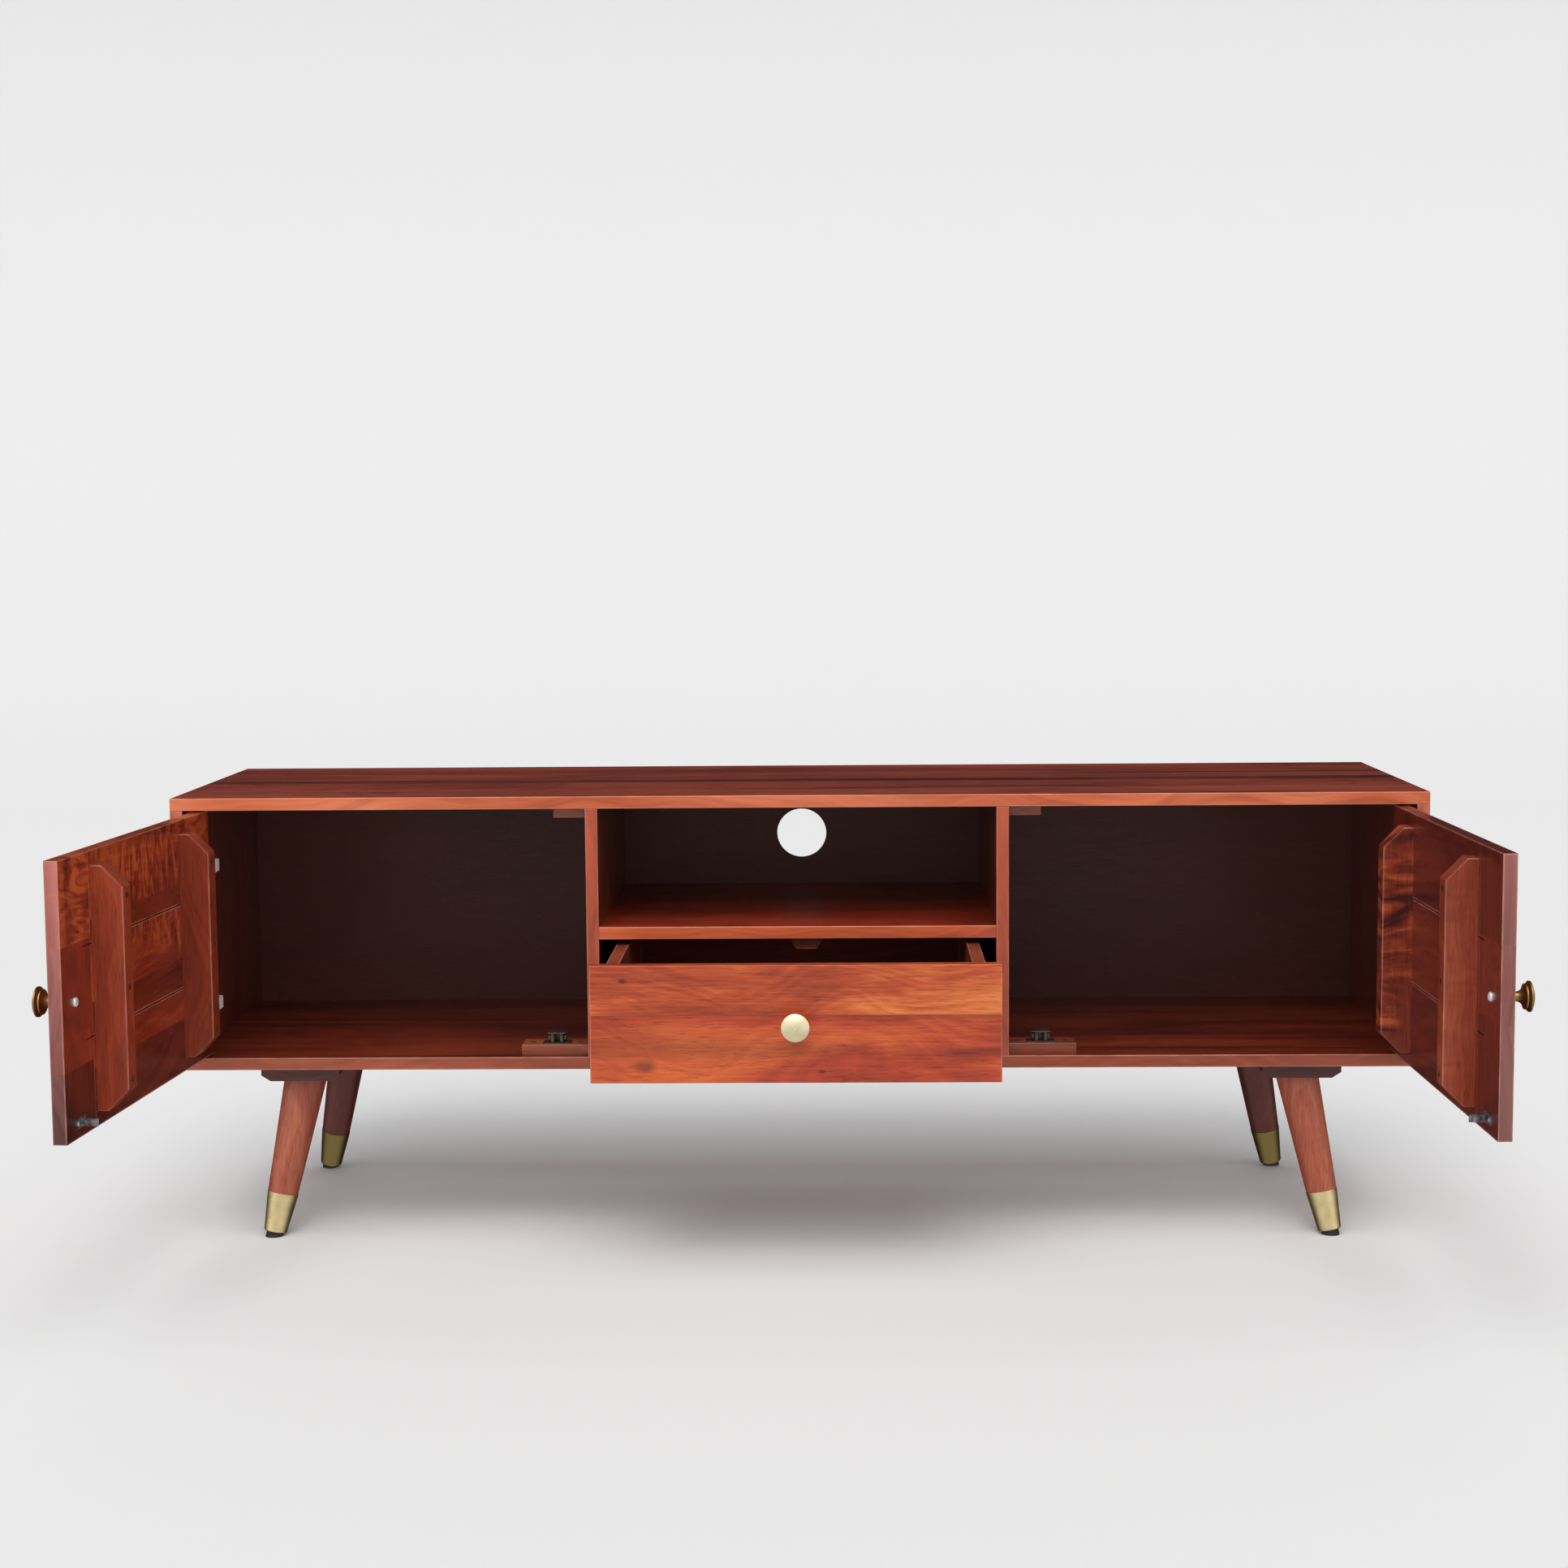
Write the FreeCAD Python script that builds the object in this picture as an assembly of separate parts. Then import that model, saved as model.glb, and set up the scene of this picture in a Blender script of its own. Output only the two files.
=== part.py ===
import FreeCAD, Part
import math
import os

# Low media cabinet in lacquered solid wood: a slab-topped carcass with two door compartments, an open
# shelf bay over a wooden drawer, and four splayed round legs in brass cups.
# Millimetres. +X right, +Y away from the front, +Z up; z = 0 is the floor and x = y = 0 is the middle
# of the carcass in plan. It stands as used: both doors open and the drawer part way out.

V = FreeCAD.Vector
UP = V(0, 0, 1)
BACKWARD = V(0, 1, 0)

# ---- carcass ----
width = 1500.0
depth = 400.0
board = 15.0                 # every solid-wood panel
bay_height = 142.5           # clear height of the shelf bay, and of the drawer bay under it
centre_bay = 475.0           # clear width between the two dividers
leg_height = 212.0           # floor to the underside of the carcass
arris = 1.0                  # rounding of the exposed edges
back_thickness = 10.0
back_inset = 5.0             # back panel in from the rear edges
rebate = 7.5                 # how far the back panel laps into the panels round it
panel_gap = 0.3              # round the back panel in its rebate
cable_hole_d = 66.0
cable_hole_up = 67.5         # its centre above the shelf

# ---- fixings ----
fit_gap = 0.05               # all round a dowel, nail or screw in its hole
dowel_d = 8.0
dowel_in_face = 10.0         # depth of a dowel in the face of a panel
dowel_in_end = 20.0          # depth in the end of the panel that meets it
dowel_inset = 50.0           # first and last dowel from the ends of a joint
nail_d = 2.0
nail_head_d = 4.4
nail_length = 25.0
nail_columns = (0.22, 0.64, 0.92)        # nails along the top and bottom edges, as shares of the half width
nail_rows = (0.3, 0.7)       # nails up the side panels and dividers, as shares of the height
wood_screw_d = 3.5
wood_screw_head_d = 7.0

# ---- legs ----
leg_in_x = 144.0             # leg axis from the carcass end, at the leg's top
leg_in_y = 56.0              # leg axis from the front or rear edge, at the leg's top
leg_splay_x = 38.5           # how far the foot stands out past the top, sideways
leg_splay_y = 27.5           # and towards the front or rear
rear_right_leg_shift = 14.0  # the right rear leg is fixed this much further in
leg_top_r = 25.5
leg_joint_r = 18.4           # wood at the ferrule's mouth
ferrule_share = 0.27         # of the leg's length covered by the ferrule
ferrule_top_r = 18.9
ferrule_foot_r = 13.9
ferrule_wall = 1.5
ferrule_bottom = 2.5
ferrule_foot_up = 5.5        # centre of the ferrule's end above the floor
ferrule_foot_edge = 2.0      # rounding of its lower edge
glide_r = 10.5
glide_stem_r = 2.5
glide_stem = 14.0
block_x = 95.0
block_y = 70.0
block_t = 18.0
block_chamfer_x = 11.0
block_chamfer_z = 7.0
block_screw_x = 31.0
block_screw_y = 25.0
block_screw_bite = 10.0      # of a block screw in the bottom panel
leg_bolt_d = 8.0
leg_bolt_down = 45.0         # into the leg
leg_bolt_up = 10.0           # into the bottom panel

# ---- doors ----
door_gap_hinge = 2.5
door_gap_free = 2.0
door_gap_top = 2.0
door_gap_bottom = 3.0
stile = 84.0                 # width of the upright board at each side of a door
seam = 1.6                   # open seam between the three level boards
seam_tick = 21.0             # length of the seam's kerf in the free-side stile
seam_tick_depth = 2.0
tongue = 6.0                 # end tongue of a level board
tongue_t = 5.0
batten_t = 25.0
batten_proud = 35.0
batten_short = 15.5          # batten end from the door's top or bottom
batten_cut_z = 23.0          # sloped end of a batten: its rise
batten_land = 12.0           # and the square part next to the door
batten_corner_r = 6.0        # rounding where the slope meets the land and the proud edge
batten_from_hinge = 82.0
batten_from_free = 89.0
batten_arris = 2.2
batten_screw_d = 4.0
batten_screw_bite = 10.0
knob_from_free = 34.0
knob_below_middle = 4.0
left_door_open = 94.2        # degrees
right_door_open = 90.9
door_stop_x = 39.0           # upper stop block beside the divider
door_stop_y = 20.0
door_stop_z = 12.0
stop_clearance = 0.5         # closed door to the stop and catch blocks

# ---- concealed hinges ----
hinge_from_top = 69.0        # hinge centre from the door's top
hinge_from_bottom = 57.0
open_door_clear = 9.5        # an open door's outer face from the side panel's inner face
cup_d = 35.0
cup_depth = 11.0
cup_edge = 4.5               # wood between a cup's pocket and the door's hinge edge
cup_play = 0.1               # cup in its pocket
cup_flange_t = 1.2
cup_flange_near = 7.0        # flange from the cup's centre towards the hinge edge
cup_flange_far = 11.0        # and away from it
cup_screw_far = 3.0          # flange screws from the cup's centre, away from the hinge edge
cup_screw_clear = 6.5        # a flange screw's axis outside the cup's rim
cup_flange_end = 6.0         # flange past its screws
cup_screw_length = 12.0
pin_r = 1.5
pin_half = 12.0
pin_end_play = 1.0
pin_run = 0.05               # running clearance of the pin in the cup
nose_r = 3.0
nose_half_z = 6.0
nose_play = 0.8              # round the nose in its slot
nose_slot_floor = 2.2        # wood left on the door's face under the slot
arm_from = 14.0              # arm behind a closed door's inner face
arm_crest = 37.0             # end of its tall part, which then slopes down
arm_slope_to = 46.0
arm_to = 63.0
arm_in = 10.0                # arm from the side panel's face
arm_low = 17.0               # its rear part
arm_out = 30.0               # and its tall part
arm_half_z = 7.5
plate_from = 25.0            # mounting plate behind a closed door's inner face
plate_to = 59.0
plate_half_z = 9.0
wing_t = 2.0
wing_from = 30.0             # its wings, with a screw in each
wing_to = 54.0
wing_half_z = 24.0
wing_screw_z = 17.0
wing_screw_length = 13.0

# ---- roller catches and strikes ----
catch_block_x = 82.0
catch_block_y = 35.0
catch_block_z = 12.0
catch_block_screw_shares = (0.15, 0.85)  # of the block's length
catch_from_divider = 40.0
catch_half_x = 17.0          # base flange
catch_front = 4.0            # flange behind a closed door's inner face
catch_rear = 23.0
catch_sheet = 1.3            # thickness of the bent steel
catch_height = 14.0
catch_top_half_x = 11.0
catch_screw_x = 14.0
catch_screw_d = 3.0
catch_screw_head_d = 5.0
catch_screw_length = 10.0
roller_r = 3.0
roller_apart = 5.0           # clear gap between a catch's two rollers
roller_at = 10.0             # roller axis behind a closed door's inner face
jaw_pivot_x = 8.5            # from the catch's middle
jaw_pivot_at = 18.0          # and the jaw's pin
jaw_pin_r = 1.0
jaw_play = 0.5               # above and below a jaw
jaw_lever_half_z = 2.6
jaw_reach = 2.0              # lever past its pin
strike_half_x = 13.0
strike_half_z = 5.5
strike_t = 1.5
strike_reach = 18.5
strike_neck = 1.0
strike_head = 1.5
spear_half_z = 4.0
strike_screw_x = 9.0

# ---- drawer ----
drawer_pull = 155.0          # how far it stands out
drawer_front_gap_x = 2.75
drawer_front_gap_z = 1.0
drawer_front_gap_top = 5.5
drawer_lower_board_h = 78.0
drawer_side_up = 0.6         # sides ride this clear of the bottom panel
drawer_side_drop = 2.0       # side tops below the front's top
drawer_rear_gap = 35.0       # closed drawer to the back panel
drawer_bottom_t = 8.0
drawer_bottom_up = 10.0      # bottom above the sides' lower edges
drawer_groove = 6.0
drawer_dowel_in_face = 9.0
drawer_dowel_in_end = 17.0
drawer_dowel_low = 40.0      # lower dowels above the bottom panel
drawer_dowel_down = 25.0     # upper dowels below the sides' tops
guide_w = 19.5
guide_h = 25.0
guide_clear = 2.0            # guide behind the closed drawer front
guide_screw_bite = 10.0
guide_screw_shares = (0.1, 0.5, 0.9)     # of the guide's length
slide_gap = 0.75             # drawer box to guide
stop_block_x = 10.5          # the drawer stop stands this far right of the middle
stop_block_top = 44.0
stop_block_low = 24.5
stop_block_h = 15.0
stop_block_at = 3.0          # behind the inner face of the closed drawer's front
stop_play = 0.5

# ---- knobs ----
knob_out = 28.0
knob_head_r = 16.0
knob_screw_d = 4.0
knob_screw_head_d = 10.0
knob_screw_head_t = 3.0
knob_screw_head_round = 1.8
cross_length = 5.4           # cross recess in its head
cross_w = 1.2
cross_depth = 1.4
knob_screw_in_knob = 13.0
knob_bore_spare = 1.1        # bore past the screw's tip

# ---- places worked out from the sizes above ----
half = width / 2
front = -depth / 2
rear = depth / 2
floor_z = leg_height + board             # top of the bottom panel
shelf_z = floor_z + bay_height           # underside of the shelf
shelf_top = shelf_z + board
slab_z = shelf_top + bay_height          # underside of the top panel
top_z = slab_z + board
side_in = half - board                   # inner face of a side panel, from the middle
div_in = centre_bay / 2
div_out = div_in + board
back_face = rear - back_inset - back_thickness
door_w = side_in - div_out - door_gap_hinge - door_gap_free
door_low = floor_z + door_gap_bottom
door_high = slab_z - door_gap_top
door_knob_z = (door_low + door_high) / 2 - knob_below_middle
hinge_x = side_in - open_door_clear - board / 2     # pin, from the middle
hinge_y = front + board / 2
hinge_heights = [door_low + hinge_from_bottom, door_high - hinge_from_top]
catch_x = div_out + catch_from_divider
catch_z = floor_z + catch_block_z
roller_x = roller_apart / 2 + roller_r
spear_z = catch_z + catch_height / 2
cup_centre = cup_edge + cup_d / 2        # from the door's hinge edge
cup_screw_z = cup_d / 2 + cup_screw_clear
inside = front + board                   # inner face of a closed door and of the closed drawer's front
block_y0 = inside + stop_clearance
joint_rows = [front + dowel_inset, (front + back_face) / 2, back_face - dowel_inset]
drawer_front_h = bay_height - drawer_front_gap_z - drawer_front_gap_top
drawer_end = back_face - drawer_rear_gap            # rear of the closed drawer
drawer_travel = drawer_end - board - inside - stop_block_at - stop_block_top - stop_play


# ---- shapes ----
def box(x0, x1, y0, y1, z0, z1):
    return Part.makeBox(x1 - x0, y1 - y0, z1 - z0, V(x0, y0, z0))


def rod(start, direction, length, radius):
    return Part.makeCylinder(radius, length, start, direction)


def prism(points, travel):
    return Part.Face(Part.makePolygon(points + points[:1])).extrude(travel)


def joined(solids):
    whole = solids[0]
    for other in solids[1:]:
        whole = whole.fuse(other)
    return whole.removeSplitter()


def softened(solid, radius, keep=lambda centre: True):
    edges = [edge for edge in solid.Edges if keep(edge.CenterOfMass)]
    return solid.makeFillet(radius, edges)


def drilled(solid, tools):
    return solid.cut(Part.makeCompound(tools)) if tools else solid


def mirrored(solid):
    return solid.mirror(V(0, 0, 0), V(1, 0, 0))


def screw(point, direction, length, shank_d, head_d, grow=0.0):
    """A countersunk screw, its head flush at point; with grow it is the hole that the screw needs."""
    head_h = (head_d - shank_d) / 2
    head = Part.makeCone(head_d / 2 + grow, shank_d / 2 + grow, head_h, point, direction)
    return head.fuse(rod(point, direction, length + grow, shank_d / 2 + grow))


def near_front(centre):
    return abs(centre.y - front) < board / 4


# ---- dowels and nails of the carcass ----
def carcass_dowel_places():
    """(start, direction, length) of each dowel; the first part of it is in a panel's face."""
    places = []
    length = dowel_in_face + dowel_in_end
    for y in joint_rows:
        for x in (half - board / 2, div_in + board / 2):
            for side in (-1, 1):
                places.append((V(side * x, y, slab_z + dowel_in_face), V(0, 0, -1), length))
                places.append((V(side * x, y, floor_z - dowel_in_face), V(0, 0, 1), length))
        for side in (-1, 1):
            start = V(side * (div_in + dowel_in_face), y, shelf_z + board / 2)
            places.append((start, V(-side, 0, 0), length))
    return places


def dowels(places, grow=0.0):
    return [rod(start - along * grow, along, length + 2 * grow, dowel_d / 2 + grow)
            for start, along, length in places]


def nail_places():
    """Points on the rear face of the back panel where its nails go in."""
    lap = rebate / 2
    points = []
    for side in (-1, 1):
        for share in nail_columns:
            points.append(V(side * share * side_in, 0, floor_z - lap))
            points.append(V(side * share * side_in, 0, slab_z + lap))
        for share in nail_rows:
            z = floor_z + share * (slab_z - floor_z)
            points.append(V(side * (side_in + lap), 0, z))
            points.append(V(side * (div_in + board / 2), 0, z))
        points.append(V(side * centre_bay / 4, 0, shelf_z + board / 2))
    return [V(p.x, back_face + back_thickness, p.z) for p in points]


def nails(grow=0.0):
    head_t = nail_d / 2
    return [rod(p, -BACKWARD, nail_length + grow, nail_d / 2 + grow).fuse(
            rod(p, -BACKWARD, head_t, nail_head_d / 2 + grow)) for p in nail_places()]


# ---- legs ----
class Leg:
    """One corner: its axis, from the middle of the block's underside to the foot on the floor."""

    def __init__(self, name, side, end):
        self.name = name
        shift = rear_right_leg_shift if (side, end) == (1, 1) else 0.0
        top_x = side * (half - leg_in_x - shift)
        top_y = end * (depth / 2 - leg_in_y)
        self.top = V(top_x, top_y, leg_height - block_t)
        self.foot = V(top_x + side * leg_splay_x, top_y + end * leg_splay_y, 0)
        self.axis = (self.foot - self.top).normalize()
        self.length = (self.foot - self.top).Length
        self.mouth = self.length * (1 - ferrule_share)
        self.end = self.length - ferrule_foot_up / abs(self.axis.z)

    def at(self, distance):
        return self.top + self.axis * distance

    def cone(self, from_s, to_s, from_r, to_r):
        return Part.makeCone(from_r, to_r, to_s - from_s, self.at(from_s), self.axis)


legs = [Leg("front_left", -1, -1), Leg("front_right", 1, -1),
        Leg("rear_left", -1, 1), Leg("rear_right", 1, 1)]


def leg_bolt(leg, grow=0.0):
    start = leg.top - UP * (leg_bolt_down + grow)
    height = leg_bolt_down + block_t + leg_bolt_up + 2 * grow
    return rod(start, UP, height, leg_bolt_d / 2 + grow)


def block_screws(leg, grow=0.0):
    return [screw(leg.top + V(sx * block_screw_x, sy * block_screw_y, 0), UP, block_t + block_screw_bite,
                  wood_screw_d, wood_screw_head_d, grow) for sx in (-1, 1) for sy in (-1, 1)]


def leg_block(leg):
    x, y, z = leg.top.x - block_x / 2, leg.top.y - block_y / 2, leg.top.z
    outline = [V(x, y, z + block_t), V(x + block_x, y, z + block_t),
               V(x + block_x, y, z + block_chamfer_z), V(x + block_x - block_chamfer_x, y, z),
               V(x + block_chamfer_x, y, z), V(x, y, z + block_chamfer_z)]
    return drilled(prism(outline, BACKWARD * block_y), block_screws(leg, fit_gap) + [leg_bolt(leg, fit_gap)])


def glide(leg, grow=0.0):
    """A pad nailed under the foot: its lower face lies flat on the floor."""
    stem = rod(leg.at(leg.end), -leg.axis, glide_stem + grow, glide_stem_r + grow)
    pad = rod(leg.at(leg.end), leg.axis, 4 * ferrule_foot_up, glide_r)
    below = box(leg.foot.x - block_x, leg.foot.x + block_x, leg.foot.y - block_x, leg.foot.y + block_x,
                -block_x, 0)
    return stem if grow else stem.fuse(pad.cut(below))


def ferrule(leg):
    shell = leg.cone(leg.mouth, leg.end, ferrule_top_r, ferrule_foot_r)
    shell = softened(shell, ferrule_foot_edge, lambda c: (c - leg.at(leg.end)).Length < ferrule_wall)
    inner_end = leg.end - ferrule_bottom
    hollow = leg.cone(leg.mouth, inner_end, ferrule_top_r - ferrule_wall, ferrule_foot_r - ferrule_wall)
    return shell.cut(hollow).cut(glide(leg, fit_gap))


def leg_wood(leg):
    start = -block_t
    slope = (leg_joint_r - leg_top_r) / leg.mouth
    shaft = leg.cone(start, leg.mouth, leg_top_r + slope * start, leg_joint_r)
    above = box(leg.top.x - block_x, leg.top.x + block_x, leg.top.y - block_x, leg.top.y + block_x,
                leg.top.z, leg.top.z + block_x)
    tip = leg.cone(leg.mouth, leg.end - ferrule_bottom - fit_gap,
                   ferrule_top_r - ferrule_wall - fit_gap, ferrule_foot_r - ferrule_wall - fit_gap)
    return drilled(shaft.cut(above).fuse(tip), [leg_bolt(leg, fit_gap), glide(leg, fit_gap)])


# ---- blocks, guides and their screws ----
def small_screw(x, y, z, direction, length, grow=0.0):
    return screw(V(x, y, z), direction, length, wood_screw_d, wood_screw_head_d, grow)


def catch_block_screws(side, grow=0.0):
    y = block_y0 + catch_block_y / 2
    length = catch_block_z + board / 2
    return [small_screw(side * (div_out + share * catch_block_x), y, catch_z, -UP, length, grow)
            for share in catch_block_screw_shares]


def door_stop_screws(side, grow=0.0):
    x = side * (div_out + door_stop_x / 2)
    y = block_y0 + door_stop_y / 2
    return [small_screw(x, y, slab_z - door_stop_z, UP, door_stop_z + board / 2, grow)]


def guide_screws(side, grow=0.0):
    y0 = inside + guide_clear
    x = side * (div_in - guide_w / 2)
    rows = [y0 + share * (back_face - y0) for share in guide_screw_shares]
    return [small_screw(x, y, floor_z + guide_h, -UP, guide_h + guide_screw_bite, grow) for y in rows]


def stop_block_screws(grow=0.0):
    y = inside + stop_block_at + stop_block_top / 2
    reach = stop_block_low / 4
    return [small_screw(stop_block_x + dx, y, shelf_z - stop_block_h, UP, stop_block_h + board / 2, grow)
            for dx in (-reach, reach)]


def wing_screws(side, grow=0.0):
    y = inside + (wing_from + wing_to) / 2
    return [screw(V(side * (side_in - wing_t), y, z + dz), V(side, 0, 0), wing_screw_length,
                  wood_screw_d, wood_screw_head_d, grow)
            for z in hinge_heights for dz in (-wing_screw_z, wing_screw_z)]


def catch_screws(side, grow=0.0):
    y = inside + roller_at
    return [screw(V(side * catch_x + dx, y, catch_z + catch_sheet), -UP, catch_screw_length,
                  catch_screw_d, catch_screw_head_d, grow) for dx in (-catch_screw_x, catch_screw_x)]


def catch_blocks():
    blocks = []
    for side in (-1, 1):
        x0, x1 = sorted((side * div_out, side * (div_out + catch_block_x)))
        block = box(x0, x1, block_y0, block_y0 + catch_block_y, floor_z, catch_z)
        block = softened(block, arris, lambda c: c.z > catch_z - arris)
        blocks.append(drilled(block, catch_block_screws(side, fit_gap) + catch_screws(side, fit_gap)))
    return blocks


def door_stops():
    blocks = []
    for side in (-1, 1):
        x0, x1 = sorted((side * div_out, side * (div_out + door_stop_x)))
        block = box(x0, x1, block_y0, block_y0 + door_stop_y, slab_z - door_stop_z, slab_z)
        blocks.append(drilled(block, door_stop_screws(side, fit_gap)))
    return blocks


def drawer_guides():
    guides = []
    for side in (-1, 1):
        x0, x1 = sorted((side * div_in, side * (div_in - guide_w)))
        guide = box(x0, x1, inside + guide_clear, back_face, floor_z, floor_z + guide_h)
        guides.append(drilled(guide, guide_screws(side, fit_gap)))
    return guides


def drawer_stop_block():
    y = inside + stop_block_at
    low = shelf_z - stop_block_h
    outline = [V(stop_block_x - stop_block_top / 2, y, shelf_z),
               V(stop_block_x + stop_block_top / 2, y, shelf_z),
               V(stop_block_x + stop_block_low / 2, y, low),
               V(stop_block_x - stop_block_low / 2, y, low)]
    return drilled(prism(outline, BACKWARD * stop_block_top), stop_block_screws(fit_gap))


# ---- roller catches ----
def catch_housing(side):
    x = side * catch_x
    y0, y1 = inside + catch_front, inside + catch_rear
    top = catch_z + catch_height
    base = box(x - catch_half_x, x + catch_half_x, y0, y1, catch_z, catch_z + catch_sheet)
    wall = box(x - catch_top_half_x, x + catch_top_half_x, y1 - catch_sheet, y1, catch_z, top)
    lid = box(x - catch_top_half_x, x + catch_top_half_x, y0, y1, top - catch_sheet, top)
    pins = [rod(V(x + dx, inside + jaw_pivot_at, catch_z), UP, catch_height, jaw_pin_r)
            for dx in (-jaw_pivot_x, jaw_pivot_x)]
    return drilled(joined([base, wall, lid] + pins), catch_screws(side, fit_gap))


def catch_jaw(side, hand):
    """One sprung jaw; hand is the side of the catch that it is on, -1 left or 1 right."""
    x = side * catch_x
    z0, z1 = catch_z + catch_sheet + jaw_play, catch_z + catch_height - catch_sheet - jaw_play
    roller = rod(V(x + hand * roller_x, inside + roller_at, z0), UP, z1 - z0, roller_r)
    x0, x1 = sorted((x + hand * (roller_x - roller_r / 2), x + hand * (jaw_pivot_x + jaw_reach)))
    lever = box(x0, x1, inside + roller_at, inside + jaw_pivot_at + jaw_reach,
                spear_z - jaw_lever_half_z, spear_z + jaw_lever_half_z)
    pin_foot = V(x + hand * jaw_pivot_x, inside + jaw_pivot_at, catch_z)
    bore = rod(pin_foot, UP, catch_height, jaw_pin_r + pin_run)
    return joined([roller, lever]).cut(bore)


# ---- hinge arms, made for the left side ----
def hinge_arm(z):
    x = -side_in
    pin_x = -hinge_x
    centre = V(pin_x, hinge_y, z)
    knuckle = rod(centre - UP * nose_half_z, UP, 2 * nose_half_z, nose_r)
    nose = box(pin_x - nose_r, pin_x + nose_r, hinge_y, inside + arm_from + arris,
               z - nose_half_z, z + nose_half_z)
    low = z - arm_half_z
    outline = [V(x + out, inside + back, low) for out, back in (
        (arm_in, arm_from), (arm_out, arm_from), (arm_out, arm_crest), (arm_low, arm_slope_to),
        (arm_low, arm_to), (arm_in, arm_to))]
    arm = prism(outline, UP * 2 * arm_half_z)
    arm = softened(arm, arris, lambda c: c.x > x + arm_out - arris)
    plate = box(x, x + arm_in, inside + plate_from, inside + plate_to, z - plate_half_z, z + plate_half_z)
    wing = box(x, x + wing_t, inside + wing_from, inside + wing_to, z - wing_half_z, z + wing_half_z)
    pin = rod(centre - UP * pin_half, UP, 2 * pin_half, pin_r)
    return drilled(joined([arm, nose, knuckle, plate, wing, pin]), wing_screws(-1, fit_gap))


# ---- carcass panels ----
def panel(x0, x1, z0, z1, y1, rounded, fixings):
    solid = softened(box(x0, x1, front, y1, z0, z1), arris, rounded)
    return drilled(solid, fixings)


def back_hollow(z0, z1):
    reach = side_in + rebate
    return box(-reach, reach, back_face, rear + board, z0, z1)


def carcass():
    pegs = dowels(carcass_dowel_places(), fit_gap)
    pins = nails(fit_gap)
    feet = [tool for leg in legs for tool in block_screws(leg, fit_gap) + [leg_bolt(leg, fit_gap)]]
    catches = catch_block_screws(-1, fit_gap) + catch_block_screws(1, fit_gap)
    guides = guide_screws(-1, fit_gap) + guide_screws(1, fit_gap)
    stops = door_stop_screws(-1, fit_gap) + door_stop_screws(1, fit_gap)
    hollow = back_hollow(floor_z - rebate, slab_z + rebate)
    parts = {}
    parts["top_panel"] = panel(-half, half, slab_z, top_z, rear, lambda c: True,
                               pegs + pins + stops + [hollow])
    parts["bottom_panel"] = panel(-half, half, leg_height, floor_z, rear, lambda c: True,
                                  pegs + pins + feet + catches + guides + [hollow])
    for name, side in (("left", -1), ("right", 1)):
        x0, x1 = sorted((side * side_in, side * half))
        parts["side_panel_" + name] = panel(x0, x1, floor_z, slab_z, rear, near_front,
                                            pegs + pins + wing_screws(side, fit_gap) + [hollow])
        x0, x1 = sorted((side * div_in, side * div_out))
        parts["divider_" + name] = panel(x0, x1, floor_z, slab_z, back_face, near_front, pegs + pins)
    parts["centre_shelf"] = panel(-div_in, div_in, shelf_z, shelf_top, back_face, near_front,
                                  pegs + pins + stop_block_screws(fit_gap))
    reach = side_in + rebate - panel_gap
    back = box(-reach, reach, back_face, back_face + back_thickness,
               floor_z - rebate + panel_gap, slab_z + rebate - panel_gap)
    hole = rod(V(0, back_face - board, shelf_top + cable_hole_up), BACKWARD, 2 * board + back_thickness,
               cable_hole_d / 2)
    parts["back_panel"] = drilled(back, pins + [hole])
    return parts


# ---- knobs ----
def knob(x, y, z):
    """A turned mushroom knob standing out to the front from the face at y."""
    collar_r, collar_h = 7.0, 1.2
    neck_r, neck_h = 4.8, 7.0
    ring_r, ring_h, ring_t, ring_step = 13.4, 18.2, 1.5, 1.0
    rim_h, rim_t = 22.3, 1.8
    rise = knob_out - rim_h - rim_t
    dome_r = (knob_head_r ** 2 + rise ** 2) / (2 * rise)
    dome_mid = knob_out - dome_r + math.sqrt(dome_r ** 2 - knob_head_r ** 2 / 4)

    def p(radius, height):
        return V(x + radius, y - height, z)

    edges = [Part.LineSegment(p(0, 0), p(collar_r, 0)),
             Part.LineSegment(p(collar_r, 0), p(collar_r, collar_h)),
             Part.Arc(p(collar_r, collar_h), p(neck_r, neck_h), p(ring_r - ring_step, ring_h)),
             Part.LineSegment(p(ring_r - ring_step, ring_h), p(ring_r, ring_h)),
             Part.LineSegment(p(ring_r, ring_h), p(ring_r, ring_h + ring_t)),
             Part.LineSegment(p(ring_r, ring_h + ring_t), p(ring_r - ring_step, ring_h + ring_t)),
             Part.LineSegment(p(ring_r - ring_step, ring_h + ring_t), p(knob_head_r, rim_h)),
             Part.LineSegment(p(knob_head_r, rim_h), p(knob_head_r, rim_h + rim_t)),
             Part.Arc(p(knob_head_r, rim_h + rim_t), p(knob_head_r / 2, dome_mid), p(0, knob_out)),
             Part.LineSegment(p(0, knob_out), p(0, 0))]
    outline = Part.Wire([edge.toShape() for edge in edges])
    turned = Part.Face(outline).revolve(V(x, y, z), BACKWARD, 360)
    bore = rod(V(x, y, z), -BACKWARD, knob_screw_in_knob + knob_bore_spare, knob_screw_d / 2 + fit_gap)
    return turned.cut(bore)


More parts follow.
